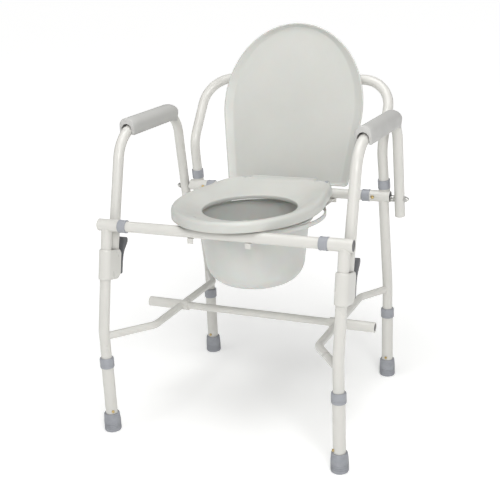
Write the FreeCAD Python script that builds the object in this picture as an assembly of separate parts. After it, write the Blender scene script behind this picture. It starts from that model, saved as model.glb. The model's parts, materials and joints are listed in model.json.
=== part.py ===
import FreeCAD, Part
import math
import os

# Drop-arm commode chair, in millimetres. +Z is up, the front of the chair
# faces -Y, and X = 0 is its plane of symmetry. Z = 0 is the floor with the
# legs at their lowest setting. The dimensions below take Y = 0 midway between
# the feet; every piece is written out with Y = 0 at the middle of the whole
# chair instead, which is CENTRE_Y further back.

V = FreeCAD.Vector
X_AXIS = V(1, 0, 0)
Y_AXIS = V(0, 1, 0)
Z_AXIS = V(0, 0, 1)
CENTRE_Y = 26.1
CLEARANCE = 0.05  # between pieces of one body that slide together when assembled

# ---- driving dimensions: tubes ----
TUBE_R = 11.5  # coated 7/8 in frame tube
TUBE_WALL = 1.3
LEG_R = 13.1  # coated 1 in lower leg tube
LEG_BORE_R = 11.8
SOCKET_R = 13.0  # sockets that the crossbars plug into
STRETCHER_R = 8.3
CROSS_SOCKET_R = 11.3
SLEEVE_R = 14.0  # grey plastic collar at each socket mouth

# ---- driving dimensions: frame ----
BAR_Z = 456.0  # height of the two seat bars
FRONT_BAR_Y = -182.0
REAR_BAR_Y = 192.0
FRONT_LEG_X = 262.0
REAR_LEG_X = 234.0
FOOT_Y = 230.0  # the feet stand this far in front of and behind the centre
LEG_BEND_Z = 236.0
LEG_BEND_R = 90.0
FRONT_SOCKET = (231.0, 280.0)  # from X to X
REAR_SOCKET = (204.0, 250.0)
SOCKET_BUTTON_INSET = 8.0  # from a socket's mouth to its snap button
SLEEVE_LENGTH = 19.0
PLUG_LENGTH = 10.0
LOWER_BAR_Z = 221.0
CROSS_Y = -9.0
CROSS_SOCKET = (171.0, 272.0)
STRETCHER_X = 189.0
STRETCHER_FRONT_Y = -137.0
STRETCHER_REAR_Y = 156.0
STRETCHER_BEND_R = 24.0

# ---- driving dimensions: legs ----
LEG_TOP_Z = 166.0
LEG_BOTTOM_Z = 4.0
INNER_LEG_BOTTOM_Z = 30.0
TIP_R = 18.5
TIP_TOP_R = 17.0
TIP_HEIGHT = 42.0
COLLAR_R = 15.4
COLLAR_Z = (150.0, 173.0)
BUTTON_R = 3.0
BUTTON_PROUD = 3.5
BAR_BUTTON_R = 3.7
BACK_BUTTON_R = 2.4
BACK_BUTTON_PROUD = 3.0
BUTTON_Z = 48.5
BUTTON_TURN = 46.0  # degrees that the front buttons face inward from straight ahead
HEIGHT_STEP = 25.4
HEIGHT_HOLES = 3

# ---- driving dimensions: backrest ----
BACK_FOOT = (REAR_LEG_X, 200.5, 466.0)
BACK_KNEE = (REAR_LEG_X - 2.0, 186.5, 566.0)
BACK_CORNER = (REAR_LEG_X - 5.0, 281.0, 704.0)
BACK_KNEE_R = 60.0
BACK_CORNER_R = 70.0
BACK_STUB_BASE_Z = 460.0
BACK_STUB_TOP_Z = 474.0
BACK_COLLAR_TOP_Z = 494.0

# ---- driving dimensions: drop arms ----
PIVOT = (270.0, 196.5, 451.0)  # where the arm's pivot bolt crosses its rear post
PIVOT_BOLT_R = 4.0
PIVOT_BOLT_DEPTH = 12.0  # of the bolt inside the rear socket
PIVOT_SIDE = 12.2  # from the arm's axis to the faces of the spacer and the washer
WASHER_R = 6.8
WASHER_THICKNESS = 1.5
CAP_NUT_R = 5.6
CAP_NUT_LENGTH = 3.8
CAP_NUT_DOME_R = 4.8
SPACER_R = 7.5
RUNNING_FIT = 0.06
ARM_TOE_IN = 1.25  # degrees; brings the front post in line behind the front leg
ARM_TOP_Z = 638.0
ARM_REAR_SLOPE = -0.13  # Y per Z of the rear post
ARM_FRONT_SLOPE = 0.285  # Y per Z of the front post
ARM_FRONT_Y_AT_TOP = -96.0
ARM_REAR_END_Z = 410.0
ARM_FRONT_END_Z = 352.0
ARM_FRONT_R = 75.0
ARM_REAR_R = 60.0
PAD_WIDTH = 35.0
PAD_TOP_Z = 663.0
PAD_BOTTOM_Z = 626.0
PAD_FRONT_Y = -68.0
PAD_REAR_TURN = 28.0  # degrees that the pad follows the rear bend

# ---- driving dimensions: lock housing and release lever ----
HOUSING_HALF_WIDTH = 14.7
HOUSING_SLOT_HALF_WIDTH = 12.1
HOUSING_LENGTH = 64.0
HOUSING_DEPTH = 39.0  # from the leg's axis to the open rear edge
HOUSING_CENTRE_Z = 374.0
HOUSING_CHAMFER = 10.0
LEVER_WIDTH = 28.0
LEVER_LUG_WIDTH = 8.0
LEVER_LUG_HEIGHT = 13.0
LEVER_LUG_REACH = 9.6  # behind the post's surface
LEVER_PIN_R = 2.0
LEVER_PIN_HEIGHT = 5.0  # above the post's end
LEVER_PIN_STANDOFF = 5.6  # behind the post's surface

# ---- driving dimensions: seat, lid and their hinge ----
HINGE_Y = 180.0
HINGE_Z = 480.0
HINGE_PIN_R = 3.0
HINGE_EAR_R = 6.5
HINGE_CLAMP_WALL = 3.0
HINGE_PIN = (58.0, 109.5)
LID_LUG = (81.0, 96.0)
HINGE_BRACKET = (97.5, 107.5)
PLATFORM_HALF_WIDTH = 79.5  # the seat's rear ledge, which the hinge pins run into
PLATFORM_Y = (145.0, 186.0)
PLATFORM_Z = (474.0, 491.0)
PLATFORM_EDGE_R = 4.0
SEAT_BOTTOM_Z = 468.5
SEAT_TOP_Z = 492.0
SEAT_HALF_WIDTH = 159.0
SEAT_CENTRE_Y = -29.0
SEAT_FRONT_Y = -221.0
SEAT_REAR_Y = 166.0
SEAT_CORNER_R = 60.0
SEAT_SIDE_LEAN = 12.0  # degrees round the oval at which its straight sides start
SEAT_EDGE_R = 8.0
SEAT_WALL = 4.0
SEAT_GROOVE_INSET = 22.0  # inner side of the groove in the seat's underside
OPENING_HALF_WIDTH = 102.0
OPENING_HALF_LENGTH = 106.0
OPENING_Y = -25.0
DISH_WIDENING = (34.0, 52.0)  # from the opening to the top of the dished surface, in X and in Y
LIP_Z = 471.5
LIP_BOTTOM_Z = 462.5
LIP_WIDTH = 8.0
BUMPER_X = 57.0
BUMPER_R = 7.0
LID_HALF_WIDTH = 173.0
LID_CENTRE_Y = 4.0
LID_CORNER_R = 10.0
LID_SIDE_LEAN = 9.0
LID_LIP = 3.5
LID_PANEL_INSET = (21.0, 7.5)  # of the flat panel, from the lid's sides and from its ends
LID_FRONT_Y = -189.0
LID_REAR_Y = 184.0
LID_BOTTOM_Z = 493.5
LID_DEPTH = 8.0
LID_SKIN = 2.5
LID_LEAN = 15.5  # degrees past upright when the lid is raised

# ---- driving dimensions: pail ----
PAIL_Y = -5.0
PAIL_BOTTOM_Z = 302.0
PAIL_RIM_Z = 451.0
PAIL_BASE_R = 103.0
PAIL_MOUTH_R = 121.0
PAIL_RIM_R = 132.0
PAIL_RIM_THICKNESS = 3.2
PAIL_WALL = 2.6
PAIL_CORNER_R = 50.0
BAIL_R = 157.0
BAIL_SECTION = (4.0, 10.0)
BAIL_PIN_R = 2.5
BAIL_PIN_REACH = 12.0  # of the pail's pins, beyond its rim
PAIL_EAR_HALF_WIDTH = 6.0
PAIL_EAR_DEPTH = 5.0
BAIL_Z = 452.2
HOLDER_RING_R = 126.5
HOLDER_ROD_R = 2.8
HOLDER_Z = PAIL_RIM_Z - PAIL_RIM_THICKNESS - HOLDER_ROD_R - CLEARANCE
STRAP_WIDTH = 12.0
STRAP_THICKNESS = 2.4
STRAP_BEND = 14.0  # before the bar's axis, where the strap levels out
STRAP_HOOK = (6.0, 9.0)  # reach past the bar's axis, and drop of the hook
FRONT_STRAP_X = 64.0
REAR_STRAP_X = 115.0


# ---- small helpers ----

def save(name, shape):
    """Write one piece to its own file, in the chair's own frame."""
    placed = shape.copy()
    placed.translate(V(0, -CENTRE_Y, 0))
    placed.exportStep("parts/" + name + ".step")


def save_pair(name, right):
    """Write a right-hand piece and its mirror image."""
    save(name + "_right", right)
    save(name + "_left", mirrored(right))


def mirrored(shape):
    return shape.mirror(V(0, 0, 0), X_AXIS)


def fused(shapes):
    whole = shapes[0]
    if len(shapes) > 1:
        whole = shapes[0].multiFuse(shapes[1:])
    return whole.removeSplitter()


def group(shapes):
    return Part.makeCompound(shapes)


def save_both(name, right):
    """Write a right-hand piece and its mirror image into one file."""
    save(name, group([right, mirrored(right)]))


def box(x0, x1, y0, y1, z0, z1):
    return Part.makeBox(x1 - x0, y1 - y0, z1 - z0, V(x0, y0, z0))


def rod(start, end, radius):
    run = end - start
    return Part.makeCylinder(radius, run.Length, start, run)


def tube(start, end, outer_r, inner_r):
    return rod(start, end, outer_r).cut(rod(start, end, inner_r))


def cross_rod(x0, x1, y, z, radius):
    """A rod along X."""
    return rod(V(x0, y, z), V(x1, y, z), radius)


def cross_tube(x0, x1, y, z, outer_r, inner_r):
    return cross_rod(x0, x1, y, z, outer_r).cut(cross_rod(x0, x1, y, z, inner_r))


def profile_face(points):
    """A flat face inside straight sides."""
    return Part.Face(Part.makePolygon(points + [points[0]]))


def revolved(outline, x=0.0, y=0.0):
    """Turn an outline of (radius, height) points about a vertical axis."""
    face = profile_face([V(x + r, y, z) for r, z in outline])
    return face.revolve(V(x, y, 0), Z_AXIS, 360)


def bent_rod(points, bends, radius):
    """A round rod along straight runs joined by tangent arcs; one bend radius per inner point."""
    pieces = []
    start = points[0]
    for i, bend in enumerate(bends):
        corner = points[i + 1]
        before = (corner - points[i]).normalize()
        after = (points[i + 2] - corner).normalize()
        turn = before.getAngle(after)
        setback = bend * math.tan(turn / 2)
        arc_start = corner - before * setback
        arc_end = corner + after * setback
        bend_axis = before.cross(after).normalize()
        centre = arc_start + bend_axis.cross(before) * bend
        pieces.append(rod(start, arc_start, radius))
        disc = Part.Face(Part.Wire(Part.makeCircle(radius, arc_start, before)))
        pieces.append(disc.revolve(centre, bend_axis, math.degrees(turn)))
        start = arc_end
    pieces.append(rod(start, points[-1], radius))
    return fused(pieces)


def bent_tube(points, bends, outer_r, inner_r):
    return bent_rod(points, bends, outer_r).cut(bent_rod(points, bends, inner_r))


def dome_button(base, direction, stem, radius=BUTTON_R, proud=BUTTON_PROUD):
    """A snap button: a stem inside the tube wall and a domed head outside it."""
    body = rod(base - direction * stem, base + direction * (proud - radius / 2), radius)
    ball = Part.makeSphere(radius, base + direction * (proud - radius))
    return body.fuse(ball).removeSplitter()


# ---- frame: legs and sockets ----

def upper_leg(x, bar_y, foot_y):
    """One upper leg: slopes down from the bar, bends upright, and ends inside the lower leg."""
    points = [V(x, bar_y, BAR_Z), V(x, foot_y, LEG_BEND_Z), V(x, foot_y, INNER_LEG_BOTTOM_Z)]
    leg = bent_tube(points, [LEG_BEND_R], TUBE_R, TUBE_R - TUBE_WALL)
    return leg.cut(cross_rod(x - SOCKET_R * 2, x + SOCKET_R * 2, bar_y, BAR_Z, SOCKET_R))


def drilled_upper_leg(x, bar_y, foot_y, facing):
    """The upper leg with the hole that its snap button springs through."""
    hole = rod(V(x, foot_y, BUTTON_Z), V(x, foot_y, BUTTON_Z) + facing * LEG_R, BUTTON_R + 0.5)
    return upper_leg(x, bar_y, foot_y).cut(hole)


def front_facing():
    turn = math.radians(BUTTON_TURN)
    return V(-math.sin(turn), -math.cos(turn), 0)


def front_socket():
    return cross_tube(*FRONT_SOCKET, FRONT_BAR_Y, BAR_Z, SOCKET_R, TUBE_R + CLEARANCE)


def back_axis():
    """Foot and knee of the backrest's right side, and the direction from one to the other."""
    foot = V(*BACK_FOOT)
    knee = V(*BACK_KNEE)
    return foot, (knee - foot).normalize()


def at_height(z):
    """The point at height z on the backrest's lower right side."""
    foot, up = back_axis()
    return foot + up * ((z - foot.z) / up.z)


def rear_socket():
    """The crossbar socket, with the upright stub that the backrest plugs into."""
    stub = tube(at_height(BAR_Z), at_height(BACK_STUB_TOP_Z), SOCKET_R, TUBE_R + CLEARANCE)
    stub = stub.cut(cross_rod(*REAR_SOCKET, REAR_BAR_Y, BAR_Z, SOCKET_R))
    reach = SOCKET_R * 3
    stub = stub.common(box(
        REAR_LEG_X - reach, REAR_LEG_X + reach, REAR_BAR_Y - reach, REAR_BAR_Y + reach,
        BACK_STUB_BASE_Z, BACK_STUB_TOP_Z + reach,
    ))
    socket = cross_tube(*REAR_SOCKET, REAR_BAR_Y, BAR_Z, SOCKET_R, TUBE_R + CLEARANCE)
    return socket.fuse(stub).removeSplitter()


def end_plug(socket, y, z, radius):
    """A plastic plug just inside a socket's open outer end."""
    outer = socket[1] - 1
    return cross_rod(outer - PLUG_LENGTH, outer, y, z, radius)


def socket_plugs():
    rear = end_plug(REAR_SOCKET, REAR_BAR_Y, BAR_Z, TUBE_R)
    rear = rear.cut(cross_rod(*REAR_SOCKET, PIVOT[1], PIVOT[2], PIVOT_BOLT_R))
    front = end_plug(FRONT_SOCKET, FRONT_BAR_Y, BAR_Z, TUBE_R)
    cross = end_plug(CROSS_SOCKET, CROSS_Y, LOWER_BAR_Z, STRETCHER_R)
    right = [rear, front, cross]
    return group(right + [mirrored(s) for s in right])


# ---- frame: bars, sleeves and snap buttons ----

def bar(y, socket):
    """A crossbar that plugs into the sockets at both sides, with a hole for each snap button."""
    end = socket[1] - PLUG_LENGTH - 2
    return cross_tube(-end, end, y, BAR_Z, TUBE_R, TUBE_R - TUBE_WALL)


def lower_crossbar():
    end = STRETCHER_X - STRETCHER_R - 1
    return cross_tube(-end, end, CROSS_Y, LOWER_BAR_Z, STRETCHER_R, STRETCHER_R - TUBE_WALL)


def bar_sleeves():
    """The grey collars round the bars at the four socket mouths."""
    collars = []
    for y, socket in ((FRONT_BAR_Y, FRONT_SOCKET), (REAR_BAR_Y, REAR_SOCKET)):
        mouth = socket[0]
        collars.append(
            cross_tube(mouth - SLEEVE_LENGTH, mouth, y, BAR_Z, SLEEVE_R, TUBE_R + CLEARANCE)
        )
    return group(collars + [mirrored(s) for s in collars])


def backrest_collars():
    low, high = at_height(BACK_STUB_TOP_Z), at_height(BACK_COLLAR_TOP_Z)
    collar = tube(low, high, SLEEVE_R, TUBE_R + CLEARANCE)
    return group([collar, mirrored(collar)])


def bar_button(socket, bar_y, side):
    """The button that locks a crossbar in its socket; side is -1 to face forward, 1 back."""
    facing = V(0, side, 0)
    base = V(socket[0] + SOCKET_BUTTON_INSET, bar_y, BAR_Z) + facing * SOCKET_R
    return dome_button(base, facing, SOCKET_R - TUBE_R + TUBE_WALL + 1, radius=BAR_BUTTON_R)


def button_hole(socket, bar_y, side):
    base = V(socket[0] + SOCKET_BUTTON_INSET, bar_y, BAR_Z)
    return rod(base, base + V(0, side, 0) * SLEEVE_R, BAR_BUTTON_R + 0.4)


def backrest_button():
    """The button that locks one side of the backrest in its stub, facing back."""
    base = at_height(BACK_STUB_TOP_Z - 5) + Y_AXIS * SOCKET_R
    stem = SOCKET_R - TUBE_R + TUBE_WALL
    return dome_button(base, Y_AXIS, stem, radius=BACK_BUTTON_R, proud=BACK_BUTTON_PROUD)


def backrest_button_hole():
    base = at_height(BACK_STUB_TOP_Z - 5)
    return rod(base, base + Y_AXIS * SLEEVE_R * 1.2, BACK_BUTTON_R + 0.4)


def backrest():
    """The bent tube behind the lid, from one rear socket to the other."""
    right = [at_height(BACK_STUB_TOP_Z - 9), V(*BACK_KNEE), V(*BACK_CORNER)]
    left = [V(-p.x, p.y, p.z) for p in reversed(right)]
    bends = [BACK_KNEE_R, BACK_CORNER_R, BACK_CORNER_R, BACK_KNEE_R]
    hoop = bent_tube(right + left, bends, TUBE_R, TUBE_R - TUBE_WALL)
    return hoop.cut(cross_rod(-260, 260, REAR_BAR_Y, BAR_Z, SOCKET_R + 0.2))


# ---- frame: lower level ----

def stretcher():
    """The side tube that joins the front and rear leg, cranked inward between them."""
    points = [
        V(FRONT_LEG_X, -FOOT_Y, LOWER_BAR_Z),
        V(STRETCHER_X, STRETCHER_FRONT_Y, LOWER_BAR_Z),
        V(STRETCHER_X, STRETCHER_REAR_Y, LOWER_BAR_Z),
        V(REAR_LEG_X, FOOT_Y, LOWER_BAR_Z),
    ]
    bends = [STRETCHER_BEND_R, STRETCHER_BEND_R]
    side = bent_tube(points, bends, STRETCHER_R, STRETCHER_R - TUBE_WALL)
    for x, y in ((FRONT_LEG_X, -FOOT_Y), (REAR_LEG_X, FOOT_Y)):
        side = side.cut(rod(V(x, y, LOWER_BAR_Z - 40), V(x, y, LOWER_BAR_Z + 40), TUBE_R))
    return side


def cross_socket():
    """The stub tube across the stretcher; the dropped arm comes to rest on its outer end."""
    stub = cross_tube(*CROSS_SOCKET, CROSS_Y, LOWER_BAR_Z, CROSS_SOCKET_R, STRETCHER_R + CLEARANCE)
    passage = rod(
        V(STRETCHER_X, CROSS_Y - 30, LOWER_BAR_Z),
        V(STRETCHER_X, CROSS_Y + 30, LOWER_BAR_Z),
        STRETCHER_R,
    )
    return stub.cut(passage)


# ---- frame: lock housing ----

def leg_slope():
    """Direction down the front leg's sloping part, and the direction square to it, backward."""
    down = V(0, -FOOT_Y - FRONT_BAR_Y, LEG_BEND_Z - BAR_Z).normalize()
    return down, V(0, -down.z, down.y)


def lock_housing():
    """The channel round the front leg that takes the arm's front post; it is open behind."""
    down, back = leg_slope()
    centre = V(FRONT_LEG_X, FRONT_BAR_Y, BAR_Z) + down * ((HOUSING_CENTRE_Z - BAR_Z) / down.z)
    top = centre - down * (HOUSING_LENGTH / 2)
    bottom = centre + down * (HOUSING_LENGTH / 2)
    outer = rod(top, bottom, HOUSING_HALF_WIDTH)
    inner = rod(top - down, bottom + down, TUBE_R + CLEARANCE)
    slot = slab(top - down, HOUSING_SLOT_HALF_WIDTH, HOUSING_DEPTH + 2, HOUSING_LENGTH + 2)
    side = slab(top, HOUSING_HALF_WIDTH, HOUSING_DEPTH, HOUSING_LENGTH)
    channel = outer.fuse(side).cut(inner).cut(slot)
    corner = bottom + back * HOUSING_DEPTH
    wedge = profile_face([
        corner + down + back,
        corner - down * HOUSING_CHAMFER + back,
        corner - down * HOUSING_CHAMFER,
        corner - back * HOUSING_CHAMFER,
        corner - back * HOUSING_CHAMFER + down,
    ])
    wedge.translate(V(-HOUSING_HALF_WIDTH * 2, 0, 0))
    return channel.cut(wedge.extrude(V(HOUSING_HALF_WIDTH * 4, 0, 0))).removeSplitter()


def slab(top, half_width, depth, length):
    """A block behind the front leg's axis, square to its slope."""
    down, back = leg_slope()
    face = profile_face([
        top,
        top + back * depth,
        top + back * depth + down * length,
        top + down * length,
    ])
    face.translate(V(-half_width, 0, 0))
    return face.extrude(V(half_width * 2, 0, 0))


# ---- lower legs ----

def lower_leg(x, y, facing):
    leg = tube(V(x, y, LEG_BOTTOM_Z), V(x, y, LEG_TOP_Z), LEG_R, LEG_BORE_R)
    base = V(x, y, BUTTON_Z)
    leg = leg.cut(rod(base, base + facing * LEG_R * 2, BUTTON_R + 0.2))
    for step in range(1, HEIGHT_HOLES + 1):
        hole = base + Z_AXIS * (step * HEIGHT_STEP)
        leg = leg.cut(rod(hole, hole - facing * LEG_R * 2, BUTTON_R + 0.4))
    return leg


def leg_tip(x, y):
    """The cup-shaped tip under a leg."""
    outline = [
        (0, 0), (TIP_R - 4, 0), (TIP_R - 1.2, 1.4), (TIP_R, 5), (TIP_R - 0.3, 26),
        (TIP_TOP_R, 40), (TIP_TOP_R - 1.6, TIP_HEIGHT), (LEG_R + CLEARANCE, TIP_HEIGHT),
        (LEG_R + CLEARANCE, LEG_BOTTOM_Z), (0, LEG_BOTTOM_Z),
    ]
    return revolved(outline, x, y)


def leg_collar(x, y):
    """The guide ring on top of a lower leg."""
    low, high = COLLAR_Z
    outline = [
        (LEG_R + CLEARANCE, low), (COLLAR_R - 1, low), (COLLAR_R, low + 1.5),
        (COLLAR_R, high - 3), (COLLAR_R - 1.2, high), (LEG_BORE_R + 0.1, high),
        (LEG_BORE_R + 0.1, LEG_TOP_Z), (LEG_R + CLEARANCE, LEG_TOP_Z),
    ]
    return revolved(outline, x, y)


def leg_button(x, y, facing):
    """The button that pins a lower leg; it stops just outside the upper leg's tube."""
    axis = V(x, y, BUTTON_Z)
    button = dome_button(axis + facing * LEG_R, facing, LEG_R - LEG_BORE_R)
    keep_out = rod(axis - Z_AXIS * BUTTON_R * 2, axis + Z_AXIS * BUTTON_R * 2, LEG_BORE_R + CLEARANCE)
    return button.cut(keep_out)


# ---- drop arms ----

def arm_points():
    """The right arm's centre line, in its own upright plane at the pivot's X."""
    x, pivot_y, pivot_z = PIVOT
    return [
        V(x, pivot_y + ARM_REAR_SLOPE * (ARM_REAR_END_Z - pivot_z), ARM_REAR_END_Z),
        V(x, pivot_y + ARM_REAR_SLOPE * (ARM_TOP_Z - pivot_z), ARM_TOP_Z),
        V(x, ARM_FRONT_Y_AT_TOP, ARM_TOP_Z),
        V(x, ARM_FRONT_Y_AT_TOP - ARM_FRONT_SLOPE * (ARM_TOP_Z - ARM_FRONT_END_Z), ARM_FRONT_END_Z),
    ]


def toed_in(shape):
    """Turn a piece of the right arm inward about the pivot's upright line."""
    turned = shape.copy()
    turned.rotate(V(PIVOT[0], PIVOT[1], 0), Z_AXIS, -ARM_TOE_IN)
    return turned


def arm_tube():
    points = arm_points()
    bends = [ARM_REAR_R, ARM_FRONT_R]
    arm = toed_in(bent_tube(points, bends, TUBE_R, TUBE_R - TUBE_WALL))
    bolt_hole = cross_rod(PIVOT[0] - 20, PIVOT[0] + 20, PIVOT[1], PIVOT[2], PIVOT_BOLT_R + RUNNING_FIT)
    return arm.cut(bolt_hole)


def pad_section(y):
    """The pad's arched section, open below, standing square to Y."""
    x = PIVOT[0]
    half = PAD_WIDTH / 2
    shoulder = PAD_TOP_Z - half
    slot = TUBE_R + CLEARANCE
    arch = Part.Arc(V(x + half, y, shoulder), V(x, y, PAD_TOP_Z), V(x - half, y, shoulder))
    bore = Part.Arc(V(x - slot, y, ARM_TOP_Z), V(x, y, ARM_TOP_Z + slot), V(x + slot, y, ARM_TOP_Z))
    corners = [
        (x - half, shoulder), (x - half, PAD_BOTTOM_Z), (x - slot, PAD_BOTTOM_Z), (x - slot, ARM_TOP_Z),
    ]
    left = [V(a, y, z) for a, z in corners]
    right = [V(2 * x - a, y, z) for a, z in reversed(corners)]
    edges = [arch.toShape(), Part.makePolygon(left), bore.toShape(), Part.makePolygon(right)]
    return Part.Face(Part.Wire(Part.__sortEdges__([e for s in edges for e in s.Edges])))


def arm_pad():
    """The moulded pad: straight along the arm's top, then following its rear bend a little."""
    rear_corner = arm_points()[1]
    rear_post = (rear_corner - arm_points()[0]).normalize()
    turn = rear_post.getAngle(V(0, -1, 0))
    bend_start_y = rear_corner.y - ARM_REAR_R * math.tan(turn / 2)
    straight = pad_section(PAD_FRONT_Y).extrude(V(0, bend_start_y - PAD_FRONT_Y, 0))
    centre = V(PIVOT[0], bend_start_y, ARM_TOP_Z - ARM_REAR_R)
    curved = pad_section(bend_start_y).revolve(centre, -X_AXIS, PAD_REAR_TURN)
    return toed_in(straight.fuse(curved).removeSplitter())


def arm_end_plugs():
    """The plugs that close the two open ends of an arm tube."""
    points = arm_points()
    plugs = []
    for end, inner in ((points[0], points[1]), (points[3], points[2])):
        along = (inner - end).normalize()
        plugs.append(rod(end + along * 0.5, end + along * 10, TUBE_R - TUBE_WALL))
    return toed_in(group(plugs))


def pivot_bolt():
    """The bolt that the arm swings on, with its cap nut outside the arm."""
    x, y, z = PIVOT
    washer_x = x + PIVOT_SIDE
    nut_x = washer_x + WASHER_THICKNESS
    nut_end = nut_x + CAP_NUT_LENGTH
    shaft = cross_rod(REAR_SOCKET[1] - PIVOT_BOLT_DEPTH, nut_x + 1, y, z, PIVOT_BOLT_R)
    washer = cross_rod(washer_x, nut_x, y, z, WASHER_R)
    nut = cross_rod(nut_x, nut_end, y, z, CAP_NUT_R)
    dome = Part.makeSphere(CAP_NUT_DOME_R, V(nut_end - 1, y, z))
    return fused([shaft, washer, nut, dome])


def pivot_spacer():
    """The ring that holds the arm off the socket's end."""
    x, y, z = PIVOT
    return cross_tube(REAR_SOCKET[1], x - PIVOT_SIDE, y, z, SPACER_R, PIVOT_BOLT_R + CLEARANCE)


# ---- release lever, on the arm's front post ----

def post_frame(height):
    """A point on the rear of the arm's front post, with directions up it and back from it."""
    points = arm_points()
    up = (points[2] - points[3]).normalize()
    back = V(0, up.z, -up.y)
    end = V(FRONT_LEG_X, points[3].y, points[3].z)
    return end + up * height + back * TUBE_R, up, back


def lever_profile():
    """Side view of the lever: a strip that stands off the post, with a finger tab at its top."""
    root, up, back = post_frame(0)

    def at(along, off):
        return root + up * along + back * off

    outer = [
        at(-4, 2.6), at(-4, 8.6), at(12, 8.6), at(18, 6.8), at(38, 8.8), at(47, 12.4),
        at(57, 18.0), at(64, 21.5), at(70, 22.8), at(74, 21.4),
    ]
    inner = [at(76, 17.5), at(73, 13.0), at(66, 9.8), at(54, 7.2), at(38, 5.2), at(14, 3.0)]
    return profile_face(outer + inner)


def release_lever():
    """The lever's plate, slotted at its foot round the post's lug."""
    side = lever_profile()
    side.translate(V(-LEVER_WIDTH / 2, 0, 0))
    lever = side.extrude(V(LEVER_WIDTH, 0, 0))
    slot = lug_block(-9, LEVER_LUG_HEIGHT + 4, LEVER_LUG_WIDTH + 0.8)
    return lever.cut(slot).cut(lever_pin_line(LEVER_WIDTH, LEVER_PIN_R + RUNNING_FIT))


def lug_block(low, high, width):
    """A block behind the post's lower end, from one height along it to another."""
    root, up, back = post_frame(0)
    inner, outer = root - back * 4, root + back * LEVER_LUG_REACH
    face = profile_face([inner + up * low, outer + up * low, outer + up * high, inner + up * high])
    face.translate(V(-width / 2, 0, 0))
    return face.extrude(V(width, 0, 0))


def lever_pin_line(half_length, radius):
    centre = post_frame(LEVER_PIN_HEIGHT)[0] + post_frame(LEVER_PIN_HEIGHT)[2] * LEVER_PIN_STANDOFF
    return cross_rod(centre.x - half_length, centre.x + half_length, centre.y, centre.z, radius)


def lever_bracket():
    """The lug on the arm's post, with the pin that the lever turns on."""
    post = toed_in(rod(arm_points()[3], arm_points()[2], TUBE_R))
    lug = lug_block(1, LEVER_LUG_HEIGHT, LEVER_LUG_WIDTH).cut(post)
    return fused([lug, lever_pin_line(LEVER_WIDTH / 2 - 1, LEVER_PIN_R)])


# ---- hinge, seat and lid ----

def hinge_brackets():
    """Two clamps round the rear bar, each with an ear that carries a hinge pin."""
    x0, x1 = HINGE_BRACKET
    clamp_r = TUBE_R + HINGE_CLAMP_WALL
    clamp = cross_tube(x0, x1, REAR_BAR_Y, BAR_Z, clamp_r, TUBE_R + CLEARANCE)
    ear = cross_rod(x0, x1, HINGE_Y, HINGE_Z, HINGE_EAR_R)
    web = profile_face([
        V(x0, HINGE_Y - HINGE_EAR_R, HINGE_Z),
        V(x0, REAR_BAR_Y - clamp_r + 1, BAR_Z + 5),
        V(x0, REAR_BAR_Y, BAR_Z + clamp_r),
        V(x0, HINGE_Y + HINGE_EAR_R, HINGE_Z),
    ]).extrude(V(x1 - x0, 0, 0))
    web = web.cut(cross_rod(x0, x1, REAR_BAR_Y, BAR_Z, TUBE_R + CLEARANCE))
    bracket = fused([clamp, web, ear]).cut(cross_rod(x0, x1, HINGE_Y, HINGE_Z, HINGE_PIN_R))
    return group([bracket, mirrored(bracket)])


def hinge_pins():
    pin = cross_rod(*HINGE_PIN, HINGE_Y, HINGE_Z, HINGE_PIN_R)
    head = cross_rod(HINGE_BRACKET[1], HINGE_PIN[1], HINGE_Y, HINGE_Z, HINGE_PIN_R + 1.5)
    one = fused([pin, head])
    return group([one, mirrored(one)])


def oval_outline(half_width, front_y, rear_y, centre_y, z, rear_corner, side_lean):
    """A closed outline: a half ellipse in front, tangent sides, and a straight rear edge."""
    length = centre_y - front_y
    lean = math.radians(side_lean)
    side_x = half_width * math.cos(lean)
    side_y = centre_y + length * math.sin(lean)
    rise = rear_y - side_y
    rear_x = side_x - rise * half_width * math.sin(lean) / (length * math.cos(lean))
    oval = Part.Ellipse(V(0, front_y, z), V(half_width, centre_y, z), V(0, centre_y, z))
    if length < half_width:
        oval = Part.Ellipse(V(half_width, centre_y, z), V(0, front_y, z), V(0, centre_y, z))
    first = oval.parameter(V(side_x, side_y, z))
    last = oval.parameter(V(-side_x, side_y, z))
    middle = oval.parameter(V(0, front_y, z))
    arc = oval_arc(oval, first, last, middle)
    corners = [V(side_x, side_y, z), V(rear_x, rear_y, z), V(-rear_x, rear_y, z), V(-side_x, side_y, z)]
    wire = Part.Wire(Part.__sortEdges__(arc + Part.makePolygon(corners).Edges))
    block = Part.Face(wire).extrude(V(0, 0, 1))
    upright = [e for e in block.Edges if is_rear_corner(e, rear_x, rear_y)]
    rounded = block.makeFillet(rear_corner, upright)
    flat = min(rounded.Faces, key=lambda f: f.CenterOfMass.z)
    return flat.OuterWire


def oval_arc(oval, first, last, middle):
    """The two edges of the ellipse from one side, through its front, to the other side."""
    full = 2 * math.pi
    to_middle = (middle - first) % full
    to_last = (last - first) % full
    if to_middle > to_last:
        first, last = last, first
        to_last = (last - first) % full
    half = first + to_last / 2
    ends = ((first, half), (half, first + to_last))
    return [Part.ArcOfEllipse(oval, a, b).toShape() for a, b in ends]


def is_rear_corner(edge, x, y):
    middle = edge.CenterOfMass
    return abs(abs(middle.x) - x) < 0.5 and abs(middle.y - y) < 0.5


def prism(wire, height):
    return Part.Face(wire).extrude(V(0, 0, height))


def opening_wire(grow_x, grow_y, z):
    """The oval of the seat's opening, made wider and longer all round."""
    long_end = V(0, OPENING_Y - OPENING_HALF_LENGTH - grow_y, z)
    side = V(OPENING_HALF_WIDTH + grow_x, OPENING_Y, z)
    return Part.Wire(Part.Ellipse(long_end, side, V(0, OPENING_Y, z)).toShape())


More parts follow.
